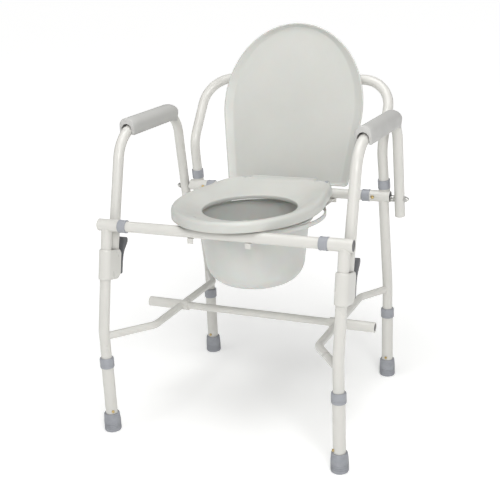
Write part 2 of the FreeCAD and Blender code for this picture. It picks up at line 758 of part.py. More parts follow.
def seat_outline(inset, z):
    return oval_outline(
        SEAT_HALF_WIDTH - inset, SEAT_FRONT_Y + inset, SEAT_REAR_Y - inset, SEAT_CENTRE_Y, z,
        SEAT_CORNER_R - inset, SEAT_SIDE_LEAN,
    )


def hinge_bore():
    """The running hole for the hinge pins."""
    reach = HINGE_PIN[1] + 10
    return cross_rod(-reach, reach, HINGE_Y, HINGE_Z, HINGE_PIN_R + RUNNING_FIT)


def platform():
    """The ledge behind the seat's oval, with rounded edges along its rear."""
    half = PLATFORM_HALF_WIDTH
    ledge = box(-half, half, *PLATFORM_Y, *PLATFORM_Z)
    rear = [e for e in ledge.Edges if e.BoundBox.YMin > PLATFORM_Y[1] - 0.1]
    return ledge.makeFillet(PLATFORM_EDGE_R, rear)


def seat():
    """A dished oval with a rolled outer edge, a lip round its opening and a groove underneath."""
    body = prism(seat_outline(0, SEAT_BOTTOM_Z), SEAT_TOP_Z - SEAT_BOTTOM_Z)
    rim = [e for e in body.Edges if e.BoundBox.ZMin > SEAT_TOP_Z - 0.1]
    body = body.makeFillet(SEAT_EDGE_R, rim)
    groove_height = SEAT_TOP_Z - SEAT_WALL - SEAT_BOTTOM_Z
    groove = prism(seat_outline(SEAT_WALL, SEAT_BOTTOM_Z), groove_height)
    core = prism(seat_outline(SEAT_GROOVE_INSET, SEAT_BOTTOM_Z), groove_height)
    lip = prism(opening_wire(LIP_WIDTH, LIP_WIDTH, LIP_BOTTOM_Z), SEAT_BOTTOM_Z + 1 - LIP_BOTTOM_Z)
    whole = fused([body.cut(groove.cut(core)), lip, platform()])
    dish_foot = opening_wire(0.5, 0.5, LIP_Z)
    dish_top = opening_wire(*DISH_WIDENING, SEAT_TOP_Z)
    dish = Part.makeLoft([dish_foot, dish_top], True)
    hole = prism(opening_wire(0, 0, LIP_BOTTOM_Z - 1), SEAT_TOP_Z)
    return whole.cut(dish).cut(hole).cut(hinge_bore()).cut(seat_bumpers())


def seat_bumpers():
    """The two soft pads under the seat, over the front bar."""
    low, high = BAR_Z + TUBE_R + 0.4, SEAT_TOP_Z - SEAT_WALL
    pads = [rod(V(x, FRONT_BAR_Y, low), V(x, FRONT_BAR_Y, high), BUMPER_R) for x in (-BUMPER_X, BUMPER_X)]
    return group(pads)


def lid_closed():
    """The lid as it lies shut on the seat: a shallow dish turned over, with a bevelled rim."""
    z = LID_BOTTOM_Z
    side, end = LID_PANEL_INSET
    rim = lid_outline(0, 0, z)
    top = lid_outline(side - LID_LIP, end - LID_LIP, z + LID_DEPTH + LID_SKIN)
    shell = Part.makeLoft([rim, top], True)
    dish = Part.makeLoft([lid_outline(LID_LIP, LID_LIP, z), lid_outline(side, end, z + LID_DEPTH)], True)
    return fused([shell.cut(dish)] + lid_lugs()).cut(hinge_bore())


def lid_outline(side_inset, end_inset, z):
    return oval_outline(
        LID_HALF_WIDTH - side_inset, LID_FRONT_Y + end_inset, LID_REAR_Y - end_inset, LID_CENTRE_Y, z,
        LID_CORNER_R, LID_SIDE_LEAN,
    )


def lid_lugs():
    x0, x1 = LID_LUG
    barrel = cross_rod(x0, x1, HINGE_Y, HINGE_Z, HINGE_EAR_R)
    neck = box(x0, x1, HINGE_Y - HINGE_EAR_R, LID_REAR_Y, HINGE_Z, LID_BOTTOM_Z + LID_DEPTH + 1)
    one = barrel.fuse(neck).removeSplitter()
    return [one, mirrored(one)]


def raised(shape):
    """Turn a piece of the closed lid up against the backrest."""
    turned = shape.copy()
    turned.rotate(V(0, HINGE_Y, HINGE_Z), -X_AXIS, 90 + LID_LEAN)
    return turned


# ---- pail and its holder ----

def pail():
    """A tapered bucket with a flat rim."""
    inner_base = PAIL_BASE_R - PAIL_WALL
    floor = PAIL_BOTTOM_Z + PAIL_WALL
    rim_low = PAIL_RIM_Z - PAIL_RIM_THICKNESS
    outline = [
        (0, PAIL_BOTTOM_Z), (PAIL_BASE_R, PAIL_BOTTOM_Z), (PAIL_MOUTH_R, rim_low),
        (PAIL_RIM_R, rim_low), (PAIL_RIM_R, PAIL_RIM_Z), (PAIL_MOUTH_R - PAIL_WALL, PAIL_RIM_Z),
        (inner_base, floor), (0, floor),
    ]
    body = revolved(outline, 0, PAIL_Y)
    base = [e for e in body.Edges if on_ring(e, PAIL_BASE_R, PAIL_BOTTOM_Z)]
    body = body.makeFillet(PAIL_CORNER_R, base)
    well = [e for e in body.Edges if on_ring(e, inner_base, floor)]
    body = body.makeFillet(PAIL_CORNER_R - PAIL_WALL, well)
    ears = []
    for side in (-1, 1):
        y = PAIL_Y + side * (PAIL_RIM_R - 2)
        inner = y - side * PAIL_EAR_DEPTH
        pin_end = PAIL_Y + side * (PAIL_RIM_R + BAIL_PIN_REACH)
        ears.append(rod(V(0, y, BAIL_Z), V(0, pin_end, BAIL_Z), BAIL_PIN_R))
        ears.append(box(
            -PAIL_EAR_HALF_WIDTH, PAIL_EAR_HALF_WIDTH, min(inner, y), max(inner, y),
            rim_low + 1, BAIL_Z + BAIL_PIN_R,
        ))
    return fused([body] + ears)


def on_ring(edge, radius, z):
    box_ = edge.BoundBox
    flat = abs(box_.ZMin - z) < 0.01 and abs(box_.ZMax - z) < 0.01
    return flat and abs(box_.XMax - radius) < 0.5


def bail():
    """The pail's carrying strap, lying level round the right side of the rim."""
    thick, tall = BAIL_SECTION
    low, high = BAIL_Z - tall / 2, BAIL_Z + tall / 2
    pin_reach = PAIL_RIM_R + 5
    outer = Part.makeCylinder(BAIL_R, tall, V(0, PAIL_Y, low))
    inner = Part.makeCylinder(BAIL_R - thick, tall, V(0, PAIL_Y, low))
    hoop = outer.cut(inner).common(box(0, BAIL_R, -300, 300, low, high))
    whole = [hoop]
    for side in (-1, 1):
        near = PAIL_Y + side * pin_reach
        far = PAIL_Y + side * (BAIL_R - 1)
        y0, y1 = min(near, far), max(near, far)
        whole.append(box(-tall / 2, tall / 2, y0, y1, low, high))
    pivot = rod(V(0, PAIL_Y - BAIL_R, BAIL_Z), V(0, PAIL_Y + BAIL_R, BAIL_Z), BAIL_PIN_R + RUNNING_FIT)
    return fused(whole).cut(pivot)


def strap_profile(bar_y, side):
    """Side view of a hanger strap that hooks under a bar: side is -1 in front, 1 behind."""
    reach, drop = STRAP_HOOK
    root = HOLDER_Z + 0.5
    top = BAR_Z - TUBE_R - CLEARANCE
    low = top - STRAP_THICKNESS
    tip = bar_y + side * reach
    inner = tip - side * STRAP_THICKNESS
    bend = bar_y - side * STRAP_BEND
    start = PAIL_Y + side * HOLDER_RING_R / 2
    return [
        V(0, start, root), V(0, bend, top), V(0, tip, top), V(0, tip, low - drop),
        V(0, inner, low - drop), V(0, inner, low), V(0, bend, low),
        V(0, start, root - STRAP_THICKNESS),
    ]


def strap(x, bar_y, side):
    face = profile_face(strap_profile(bar_y, side))
    face.translate(V(x - STRAP_WIDTH / 2, 0, 0))
    band = face.extrude(V(STRAP_WIDTH, 0, 0))
    hollow = Part.makeCylinder(HOLDER_RING_R, 40, V(0, PAIL_Y, HOLDER_Z - 20))
    return band.cut(hollow)


def pail_holder():
    """The ring under the pail's rim, hung from both bars by four straps."""
    ring = Part.makeTorus(HOLDER_RING_R, HOLDER_ROD_R, V(0, PAIL_Y, HOLDER_Z))
    straps = []
    for x in (-FRONT_STRAP_X, FRONT_STRAP_X):
        straps.append(strap(x, FRONT_BAR_Y, -1))
    for x in (-REAR_STRAP_X, REAR_STRAP_X):
        straps.append(strap(x, REAR_BAR_Y, 1))
    return fused([ring] + straps)


# ---- assembly ----

def build_frame():
    facing = front_facing()
    ahead = V(0, -1, 0)
    save_pair("front_leg", drilled_upper_leg(FRONT_LEG_X, FRONT_BAR_Y, -FOOT_Y, facing))
    save_pair("rear_leg", drilled_upper_leg(REAR_LEG_X, REAR_BAR_Y, FOOT_Y, ahead))
    save_both("front_sockets", front_socket().cut(button_hole(FRONT_SOCKET, FRONT_BAR_Y, 1)))
    rear = rear_socket().cut(button_hole(REAR_SOCKET, REAR_BAR_Y, -1)).cut(backrest_button_hole())
    save_both("rear_sockets", rear)
    save_pair("stretcher", stretcher())
    save_both("cross_sockets", cross_socket())
    save_pair("lock_housing", lock_housing())
    front_bar = bar(FRONT_BAR_Y, FRONT_SOCKET)
    rear_bar = bar(REAR_BAR_Y, REAR_SOCKET)
    hoop = backrest()
    for flip in (lambda s: s, mirrored):
        front_bar = front_bar.cut(flip(button_hole(FRONT_SOCKET, FRONT_BAR_Y, 1)))
        rear_bar = rear_bar.cut(flip(button_hole(REAR_SOCKET, REAR_BAR_Y, -1)))
        hoop = hoop.cut(flip(backrest_button_hole()))
    save("front_crossbar", front_bar)
    save("rear_crossbar", rear_bar)
    save("lower_crossbar", lower_crossbar())
    save("backrest_tube", hoop)
    save("bar_sleeves", bar_sleeves())
    save("backrest_collars", backrest_collars())
    save("socket_plugs", socket_plugs())
    save_pair("front_bar_button", bar_button(FRONT_SOCKET, FRONT_BAR_Y, 1))
    save_pair("rear_bar_button", bar_button(REAR_SOCKET, REAR_BAR_Y, -1))
    save_pair("backrest_button", backrest_button())
    save_both("pivot_bolts", pivot_bolt())
    save_both("pivot_spacers", pivot_spacer())


def build_lower_legs():
    ahead = V(0, -1, 0)
    for place, x, y, facing in (
        ("front", FRONT_LEG_X, -FOOT_Y, front_facing()),
        ("rear", REAR_LEG_X, FOOT_Y, ahead),
    ):
        save_pair("lower_leg_" + place, lower_leg(x, y, facing))
        save_pair("leg_tip_" + place, leg_tip(x, y))
        save_pair("leg_collar_" + place, leg_collar(x, y))
        save_pair("leg_button_" + place, leg_button(x, y, facing))


def build_arms():
    save_pair("arm_tube", arm_tube())
    save_pair("arm_pad", arm_pad())
    save_pair("arm_end_plugs", arm_end_plugs())
    save_pair("lever_bracket", lever_bracket())
    save_pair("release_lever", release_lever())


def build_seat():
    save("hinge_brackets", hinge_brackets())
    save("hinge_pins", hinge_pins())
    save("seat", seat())
    save("seat_bumpers", seat_bumpers())
    save("lid", raised(lid_closed()))


def build_pail():
    save("pail", pail())
    save("bail", bail())
    save("pail_holder", pail_holder())


os.makedirs("parts", exist_ok=True)
build_frame()
build_lower_legs()
build_arms()
build_seat()
build_pail()
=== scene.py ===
import json
import math

import bpy
from mathutils import Matrix, Vector


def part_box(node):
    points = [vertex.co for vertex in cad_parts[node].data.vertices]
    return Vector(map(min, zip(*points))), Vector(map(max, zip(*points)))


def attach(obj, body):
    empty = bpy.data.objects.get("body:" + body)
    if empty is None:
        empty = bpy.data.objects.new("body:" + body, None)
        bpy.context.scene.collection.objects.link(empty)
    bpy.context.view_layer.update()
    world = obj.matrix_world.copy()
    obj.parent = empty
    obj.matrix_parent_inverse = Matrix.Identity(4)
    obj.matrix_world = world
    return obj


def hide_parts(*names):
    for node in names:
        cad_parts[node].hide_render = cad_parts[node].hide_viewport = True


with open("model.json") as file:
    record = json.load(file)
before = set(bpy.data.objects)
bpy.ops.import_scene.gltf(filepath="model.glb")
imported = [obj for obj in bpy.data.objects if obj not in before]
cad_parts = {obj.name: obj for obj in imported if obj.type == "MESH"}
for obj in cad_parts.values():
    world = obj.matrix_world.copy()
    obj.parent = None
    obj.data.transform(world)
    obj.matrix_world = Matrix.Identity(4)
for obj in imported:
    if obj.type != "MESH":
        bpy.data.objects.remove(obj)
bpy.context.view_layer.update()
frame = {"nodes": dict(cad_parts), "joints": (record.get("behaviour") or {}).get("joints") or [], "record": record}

# Lengths are in metres. +Z is up and the front of the chair faces -Y.
NODES = frame["nodes"]
JOINTS = {j["name"]: j for j in frame["joints"]}
HINGE = Vector(JOINTS["seat_lift"]["pos_m"])
SIDES = (("right", 1), ("left", -1))
MM = 0.001
TURN = 2 * math.pi


# ---- mesh helpers ----

def to_object(name, verts, faces, smooth=True):
    mesh = bpy.data.meshes.new(name)
    mesh.from_pydata([tuple(v) for v in verts], [], faces)
    mesh.validate()
    obj = bpy.data.objects.new(name, mesh)
    bpy.context.scene.collection.objects.link(obj)
    for polygon in mesh.polygons:
        polygon.use_smooth = smooth
    return obj


def loft(name, rings, closed=False, caps=True):
    """Join rings of equal length by quads; closed joins last to first, and caps fill both ends."""
    count = len(rings[0])
    verts = [v for ring in rings for v in ring]
    faces = []
    last = len(rings) if closed else len(rings) - 1
    for i in range(last):
        a, b = i * count, (i + 1) % len(rings) * count
        for k in range(count):
            n = (k + 1) % count
            faces.append((a + k, a + n, b + n, b + k))
    if caps and not closed:
        faces.append(tuple(range(count - 1, -1, -1)))
        faces.append(tuple(range((len(rings) - 1) * count, len(rings) * count)))
    obj = to_object(name, verts, faces)
    face_outward(obj)
    return obj


def face_outward(obj):
    """Turn all faces the same way, outward."""
    import bmesh
    work = bmesh.new()
    work.from_mesh(obj.data)
    bmesh.ops.recalc_face_normals(work, faces=work.faces)
    work.to_mesh(obj.data)
    work.free()


def sharpen(obj, degrees=35):
    """Smooth shading that breaks at edges sharper than this."""
    obj.data.shade_smooth()
    obj.data.set_sharp_from_angle(angle=math.radians(degrees))


def lathe(name, outline, centre, axis=Vector((0, 0, 1)), steps=96):
    """Turn an outline of (radius, height) points about an axis."""
    axis = axis.normalized()
    side = axis.orthogonal().normalized()
    other = axis.cross(side)
    rings = []
    for r, h in outline:
        ring = []
        for k in range(steps):
            a = TURN * k / steps
            ring.append(centre + axis * h + (side * math.cos(a) + other * math.sin(a)) * max(r, 1e-5))
        rings.append(ring)
    closed = (Vector(outline[0]) - Vector(outline[-1])).length < 1e-9
    if closed:
        rings.pop()
    return loft(name, rings, closed=closed, caps=not closed)


def arc_points(cx, cz, r, start, end, steps=6):
    """Points on an arc in a section plane, angles in degrees."""
    points = []
    for k in range(steps + 1):
        a = math.radians(start + (end - start) * k / steps)
        points.append((cx + r * math.cos(a), cz + r * math.sin(a)))
    return points


# ---- materials ----

class Shader:
    """A small helper that adds and links the nodes of one material."""

    def __init__(self, name):
        self.mat = bpy.data.materials.new(name)
        self.mat.use_nodes = True
        self.tree = self.mat.node_tree
        self.bsdf = self.tree.nodes["Principled BSDF"]
        self.place = self.add("ShaderNodeTexCoord").outputs["Object"]

    def add(self, kind, **inputs):
        node = self.tree.nodes.new(kind)
        for key, value in inputs.items():
            node.inputs[key.replace("_", " ")].default_value = value
        return node

    def link(self, source, target):
        self.tree.links.new(source, target)

    def stretched(self, scale):
        """The object's coordinates, scaled differently along each axis."""
        node = self.add("ShaderNodeMapping")
        node.inputs["Scale"].default_value = scale
        self.link(self.place, node.inputs["Vector"])
        return node.outputs["Vector"]

    def noise(self, scale, detail=3.0, roughness=0.5, place=None):
        node = self.add("ShaderNodeTexNoise", Scale=scale, Detail=detail, Roughness=roughness)
        self.link(place or self.place, node.inputs["Vector"])
        return node.outputs["Fac"]

    def grain(self, scale):
        node = self.add("ShaderNodeTexVoronoi", Scale=scale)
        self.link(self.place, node.inputs["Vector"])
        return node.outputs["Distance"]

    def ramp(self, fac, low, high, dark, light):
        """Map a factor between low and high to two colours."""
        node = self.add("ShaderNodeValToRGB")
        node.color_ramp.elements[0].position = low
        node.color_ramp.elements[1].position = high
        node.color_ramp.elements[0].color = (*dark, 1)
        node.color_ramp.elements[1].color = (*light, 1)
        self.link(fac, node.inputs["Fac"])
        return node.outputs["Color"]

    def remap(self, fac, low, high, to_low, to_high):
        node = self.add("ShaderNodeMapRange")
        for key, value in zip(("From Min", "From Max", "To Min", "To Max"), (low, high, to_low, to_high)):
            node.inputs[key].default_value = value
        self.link(fac, node.inputs["Value"])
        return node.outputs["Result"]

    def mix(self, fac, first, second):
        """Mix two colours, each a socket or a colour."""
        node = self.tree.nodes.new("ShaderNodeMix")
        node.data_type = "RGBA"
        self.link(fac, node.inputs["Factor"])
        for value, socket in ((first, node.inputs["A"]), (second, node.inputs["B"])):
            if isinstance(value, tuple):
                socket.default_value = (*value, 1)
            else:
                self.link(value, socket)
        return node.outputs["Result"]

    def bump(self, height, strength, distance, below=None):
        node = self.add("ShaderNodeBump", Strength=strength, Distance=distance)
        self.link(height, node.inputs["Height"])
        if below is not None:
            self.link(below, node.inputs["Normal"])
        return node.outputs["Normal"]

    def finish(self, colour, roughness, normal, **constants):
        self.link(colour, self.bsdf.inputs["Base Color"])
        self.link(roughness, self.bsdf.inputs["Roughness"])
        self.link(normal, self.bsdf.inputs["Normal"])
        for key, value in constants.items():
            self.bsdf.inputs[key.replace("_", " ")].default_value = value
        return self.mat


def scaled(colour, factor):
    return tuple(min(1.0, c * factor) for c in colour)


def worn_edges(shader, radius=0.0012):
    """A mask that is 1 on sharp edges, broken up by noise: it compares the normal with a rounded one."""
    rounded = shader.add("ShaderNodeBevel", Radius=radius)
    rounded.samples = 4
    geometry = shader.add("ShaderNodeNewGeometry")
    dot = shader.tree.nodes.new("ShaderNodeVectorMath")
    dot.operation = "DOT_PRODUCT"
    shader.link(rounded.outputs["Normal"], dot.inputs[0])
    shader.link(geometry.outputs["Normal"], dot.inputs[1])
    edge = shader.remap(dot.outputs["Value"], 0.98, 0.80, 0.0, 1.0)
    patchy = shader.remap(shader.noise(140, 4), 0.45, 0.65, 0.0, 0.8)
    product = shader.tree.nodes.new("ShaderNodeMath")
    product.operation = "MULTIPLY"
    shader.link(edge, product.inputs[0])
    shader.link(patchy, product.inputs[1])
    return product.outputs["Value"]


def enamel(name, colour, wear=(0.62, 0.60, 0.55)):
    """Sprayed powder coat on steel: slight orange peel, faint mottling and rubbed edges."""
    s = Shader(name)
    mottle = s.ramp(s.noise(9, 4), 0.35, 0.7, scaled(colour, 0.965), colour)
    specks = s.remap(s.noise(420, 2), 0.70, 0.78, 0.0, 0.25)
    dusty = s.mix(specks, mottle, scaled(colour, 0.86))
    worn = s.mix(worn_edges(s), dusty, wear)
    roughness = s.remap(s.noise(26, 4), 0.3, 0.7, 0.27, 0.40)
    peel = s.bump(s.noise(620, 2), 0.10, 0.0004)
    normal = s.bump(s.noise(45, 3), 0.05, 0.0008, peel)
    return s.finish(worn, roughness, normal, Specular_IOR_Level=0.5, Coat_Weight=0.15, Coat_Roughness=0.2)


def moulded(name, colour, grain=1400, rough=(0.38, 0.5), bump=0.12, soft=0.0, coat=0.0):
    """Injection-moulded plastic: fine grain, faint flow mottling and scuffed edges."""
    s = Shader(name)
    flow = s.ramp(s.noise(6, 5, 0.6), 0.3, 0.72, scaled(colour, 0.95), scaled(colour, 1.02))
    dust = s.remap(s.noise(330, 3), 0.66, 0.78, 0.0, 0.3)
    dusty = s.mix(dust, flow, scaled(colour, 0.85))
    edge = s.mix(worn_edges(s), dusty, scaled(colour, 1.12))
    roughness = s.remap(s.noise(30, 4), 0.3, 0.7, rough[0], rough[1])
    fine = s.bump(s.grain(grain), bump, 0.0002)
    normal = s.bump(s.noise(22, 2), 0.06, 0.0015, fine)
    return s.finish(
        edge, roughness, normal, Subsurface_Weight=soft, Subsurface_Scale=0.004, Coat_Weight=coat,
    )


def rubber(name, colour):
    """Matt rubber with a dusty bloom and scuffs."""
    s = Shader(name)
    bloom = s.ramp(s.noise(60, 5, 0.65), 0.3, 0.75, scaled(colour, 0.86), scaled(colour, 1.08))
    scuff = s.remap(s.noise(16, 6, 0.7, s.stretched((3, 3, 0.6))), 0.6, 0.75, 0.0, 0.5)
    scuffed = s.mix(scuff, bloom, scaled(colour, 1.25))
    roughness = s.remap(s.noise(90, 3), 0.3, 0.7, 0.55, 0.78)
    normal = s.bump(s.noise(900, 3), 0.25, 0.0003)
    return s.finish(scuffed, roughness, normal)


def metal(name, colour, rough=(0.28, 0.42), streak=(40, 40, 400)):
    """Plated metal with fine drawn streaks and dull spots."""
    s = Shader(name)
    lines = s.noise(6, 5, 0.6, s.stretched(streak))
    tone = s.ramp(lines, 0.3, 0.7, scaled(colour, 0.82), scaled(colour, 1.08))
    spots = s.remap(s.noise(240, 3), 0.6, 0.72, 0.0, 0.5)
    dull = s.mix(spots, tone, scaled(colour, 0.7))
    roughness = s.remap(s.noise(120, 4), 0.3, 0.7, rough[0], rough[1])
    normal = s.bump(lines, 0.06, 0.0002)
    return s.finish(dull, roughness, normal, Metallic=1.0)


CREAM = (0.585, 0.577, 0.545)
COLLAR_GREY = (0.30, 0.31, 0.335)
SEAT_GREY = (0.525, 0.53, 0.50)
PAIL_GREY = (0.55, 0.56, 0.535)
PAD_GREY = (0.455, 0.452, 0.438)
DARK_GREY = (0.105, 0.108, 0.115)

MATERIALS = {
    "frame_enamel": enamel("frame_enamel", CREAM),
    "arm_enamel": enamel("arm_enamel", CREAM),
    "leg_enamel": enamel("leg_enamel", scaled(CREAM, 1.02)),
    "collar_plastic": moulded("collar_plastic", COLLAR_GREY),
    "tip_rubber": rubber("tip_rubber", COLLAR_GREY),
    "plug_plastic": moulded("plug_plastic", (0.05, 0.05, 0.055)),
    "lever_plastic": moulded("lever_plastic", DARK_GREY),
    "pad_vinyl": moulded("pad_vinyl", PAD_GREY, grain=900, rough=(0.45, 0.6), bump=0.25),
    "seat_plastic": moulded("seat_plastic", SEAT_GREY, rough=(0.3, 0.42), soft=0.1),
    "lid_plastic": moulded("lid_plastic", scaled(SEAT_GREY, 0.95), rough=(0.3, 0.42), soft=0.1),
    "pail_plastic": moulded("pail_plastic", PAIL_GREY, rough=(0.3, 0.42), soft=0.3),
    "bumper_rubber": rubber("bumper_rubber", (0.5, 0.5, 0.47)),
    "zinc_steel": metal("zinc_steel", (0.60, 0.60, 0.58)),
    "brass": metal("brass", (0.62, 0.47, 0.22), rough=(0.22, 0.35)),
}


def paint_cad_nodes():
    """Give every CAD node the material of its slot in the record."""
    for part in frame["record"]["subparts"]:
        obj = NODES[part["node"]]
        obj.data.materials.clear()
        obj.data.materials.append(MATERIALS[part["material_slot"]])
        sharpen(obj, 40)


def place(obj, body, slot, *nodes):
    """Hang a new piece on its body, give it its finish, and hide the CAD nodes it stands for."""
    obj.data.materials.append(MATERIALS[slot])
    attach(obj, body)
    if nodes:
        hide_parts(*nodes)
    return obj


# ---- shared shapes ----

def low_high(node):
    low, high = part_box(node)
    return Vector(low), Vector(high)


def middle(node):
    low, high = low_high(node)
    return (low + high) / 2


def oval(half, front, rear, centre, corner, lean):
    """Points round half an ellipse in front, straight leaning sides and a straight rear edge."""
    length = centre - front
    lean = math.radians(lean)
    side = Vector((half * math.cos(lean), centre + length * math.sin(lean)))
    slope = half * math.sin(lean) / (length * math.cos(lean))
    rear_corner = Vector((side.x - (rear - side.y) * slope, rear))
    along = (rear_corner - side).normalized()
    turn = along.angle(Vector((-1, 0)))
    setback = corner * math.tan(turn / 2)
    start = rear_corner - along * setback
    end = rear_corner + Vector((-setback, 0))
    inward = Vector((-along.y, along.x))
    pivot = start + inward * corner
    points = []
    for k in range(40):
        a = -math.pi / 2 + (math.pi / 2 + lean) * k / 40
        points.append(Vector((half * math.cos(a), centre + length * math.sin(a))))
    points += [side.lerp(start, k / 10) for k in range(10)]
    first = math.atan2(-inward.y, -inward.x)
    points += [
        pivot + Vector((math.cos(first + turn * k / 12), math.sin(first + turn * k / 12))) * corner
        for k in range(12)
    ]
    points += [end.lerp(Vector((0, rear)), k / 6) for k in range(7)]
    return points + [Vector((-p.x, p.y)) for p in reversed(points[1:-1])]


def lifted(outline, z):
    return [Vector((p.x, p.y, z)) for p in outline]


def between(first, second, share, z):
    return [Vector((*a.lerp(b, share), z)) for a, b in zip(first, second)]


def smooth_loop(points, steps=5):
    """A closed smooth curve through the points."""
    points = [Vector(p) for p in points]
    count = len(points)
    curve = []
    for i in range(count):
        a, b, c, d = (points[(i + k) % count] for k in (-1, 0, 1, 2))
        for k in range(steps):
            t = k / steps
            bend = (a * 2 - b * 5 + c * 4 - d) * t * t + (b * 3 - a - c * 3 + d) * t ** 3
            curve.append((b * 2 + (c - a) * t + bend) / 2)
    return curve


def plate(name, outline, x0, x1, edge):
    """A plate with rounded edges: an outline of (y, z) points, thick from x0 to x1."""
    rings = []
    centre = sum((Vector(p) for p in outline), Vector((0, 0))) / len(outline)
    width = x1 - x0
    for share, inset in ((0, 1), (0.3 * edge / width, 0.3), (edge / width, 0),
                         (1 - edge / width, 0), (1 - 0.3 * edge / width, 0.3), (1, 1)):
        ring = []
        for p in outline:
            away = Vector(p) - centre
            q = Vector(p) - away.normalized() * edge * inset
            ring.append(Vector((x0 + width * share, q.x, q.y)))
        rings.append(ring)
    obj = loft(name, rings)
    sharpen(obj, 50)
    return obj


def moved(obj, matrix):
    obj.data.transform(matrix)
    if matrix.determinant() < 0:
        face_outward(obj)
    return obj


def flipped(side):
    """The mirror across the chair's middle for the left side."""
    return Matrix.Scale(side, 4, Vector((1, 0, 0)))


# ---- seat ----

SEAT_CORNER = 60 * MM
SEAT_LEDGE = 20 * MM  # how far the ledge reaches behind the oval
OVAL_FRONT_TO_CENTRE = 192 * MM
SKIRT = 21.5 * MM
OPENING = (102 * MM, 106 * MM)
OPENING_FROM_FRONT = 196 * MM


def seat_outline(low, high, inset):
    return oval(
        high.x - inset, low.y + inset, high.y - SEAT_LEDGE - inset, low.y + OVAL_FRONT_TO_CENTRE,
        SEAT_CORNER - inset, 12,
    )


def opening_outline(outline, centre_y, grow):
    """The opening's oval, with one point in line with each point of the seat's outline."""
    a, b = OPENING[0] + grow, OPENING[1] + grow
    points = []
    for p in outline:
        turn = math.atan2((p.y - centre_y) / OPENING[1], p.x / OPENING[0])
        points.append(Vector((a * math.cos(turn), centre_y + b * math.sin(turn))))
    return points


def build_seat():
    low, high = low_high("seat")
    top = high.z
    base = top - SKIRT
    centre_y = low.y + OPENING_FROM_FRONT

    def rim(inset, z):
        return lifted(seat_outline(low, high, inset * MM), z)

    outer = seat_outline(low, high, 0)
    rings = [rim(0.6, base), rim(0, base + 0.8 * MM), rim(0, top - 9 * MM)]
    for x, z in arc_points(8.5, -8.5, 8.5, 180, 90, 8)[1:]:
        rings.append(rim(x, top + z * MM))
    for inset, drop in ((11, 0.15), (14, 0.9), (17, 2.0), (20, 2.9)):
        rings.append(rim(inset, top - drop * MM))
    shelf = seat_outline(low, high, 20 * MM)
    lip = opening_outline(outer, centre_y, 0)
    for share, drop in ((0.1, 4.2), (0.25, 7.0), (0.4, 9.9), (0.55, 12.8), (0.7, 15.6), (0.82, 17.8),
                        (0.91, 19.4), (0.97, 20.3)):
        rings.append(between(shelf, lip, share, top - drop * MM))
    for grow, drop in ((0.4, 21.0), (0, 21.9), (0, 28.0), (0.8, 29.1), (2, 29.5), (4.5, 29.2), (7, 27.6)):
        rings.append(lifted(opening_outline(outer, centre_y, grow * MM), top - drop * MM))
    for share, drop in ((0.75, 20.4), (0.5, 15.4), (0.2, 9.6)):
        rings.append(between(shelf, lip, share, top - drop * MM))
    for inset, drop in ((16, 5.6), (10, 4.2), (6, 6.0), (4, 10.0)):
        rings.append(rim(inset, top - drop * MM))
    rings += [rim(3.4, base + 1 * MM), rim(2.6, base)]
    shell = loft("seat_shell", rings, closed=True)
    sharpen(shell, 50)
    place(shell, "seat", "seat_plastic", "seat")
    build_ledge(high)
    build_slots(high)


LEDGE_HALF = 79.5 * MM


def build_ledge(high):
    """The ledge behind the oval, which the hinge pins run into."""
    front, rear = high.y - 31 * MM, high.y
    top, base = high.z - 1 * MM, high.z - 18 * MM

    def ring(inset, z):
        half = LEDGE_HALF
        corners = ((half, rear, 0), (-half, rear, 90), (-half, front, 180), (half, front, 270))
        r = 6 * MM
        points = []
        for x, y, start in corners:
            cx = x - math.copysign(r, x)
            cy = y - (r if y == rear else -r)
            for k in range(7):
                a = math.radians(start + 15 * k)
                points.append(Vector((cx + (r - inset) * math.cos(a), cy + (r - inset) * math.sin(a), z)))
        return points

    rings = [ring(1.2 * MM, base), ring(0, base + 1.2 * MM)]
    for x, z in arc_points(3.5, -3.5, 3.5, 180, 90, 6):
        rings.append(ring(x * MM, top + z * MM))
    rings.append(ring(5 * MM, top))
    obj = loft("seat_ledge", rings)
    sharpen(obj, 50)
    place(obj, "seat", "seat_plastic")


def build_slots(high):
    """Two moulded slots with raised rims near each rear corner of the seat; the dark inside of each slot is
    painted shade, a flat near-black cap in plug plastic instead of a cut recess.
    """
    for side_name, side in SIDES:
        for number, (x, y) in enumerate(((88, -33), (103, -30))):
            centre = Vector((side * x * MM, high.y + y * MM, high.z - 1.6 * MM))
            rings = []
            for grow, z in ((0.8, 0), (0.8, 1.5), (0.4, 1.8), (0, 1.7), (-0.3, 0.9)):
                rings.append(capsule(centre, (4.2 + grow) * MM, (1.5 + grow) * MM, z * MM))
            rim_ = loft("seat_slot_rim_%s_%d" % (side_name, number), rings)
            sharpen(rim_, 50)
            place(rim_, "seat", "seat_plastic")
            # Painted shade: a thin near-black cap inside each rim stands in for the shadow deep in the slot.
            shade_rings = [capsule(centre, 3.9 * MM, 1.2 * MM, z * MM) for z in (0.2, 1.2)]
            shade_cap = loft("seat_slot_well_%s_%d" % (side_name, number), shade_rings)
            place(shade_cap, "seat", "plug_plastic")


def capsule(centre, half, radius, z):
    points = []
    for k in range(24):
        a = TURN * k / 24
        x = radius * math.cos(a) + math.copysign(half - radius, math.cos(a))
        points.append(centre + Vector((x, radius * math.sin(a), z)))
    return points


# ---- lid ----

LID_RAISED = math.radians(105.5)
LID_RIM = 13.5 * MM  # the closed lid's rim above the hinge line
LID_REACH = 369 * MM  # from the hinge line to the front of the closed lid
LID_BEHIND = 4 * MM
LID_WIDEST = 176 * MM
PANEL_INSET = 21
LUG_R = 6.5 * MM
LUG_TOP = 22 * MM
LIP_INSET = 3.5
END_SHARE = 4 / 17.5  # slope of the flank at the lid's ends, against its sides


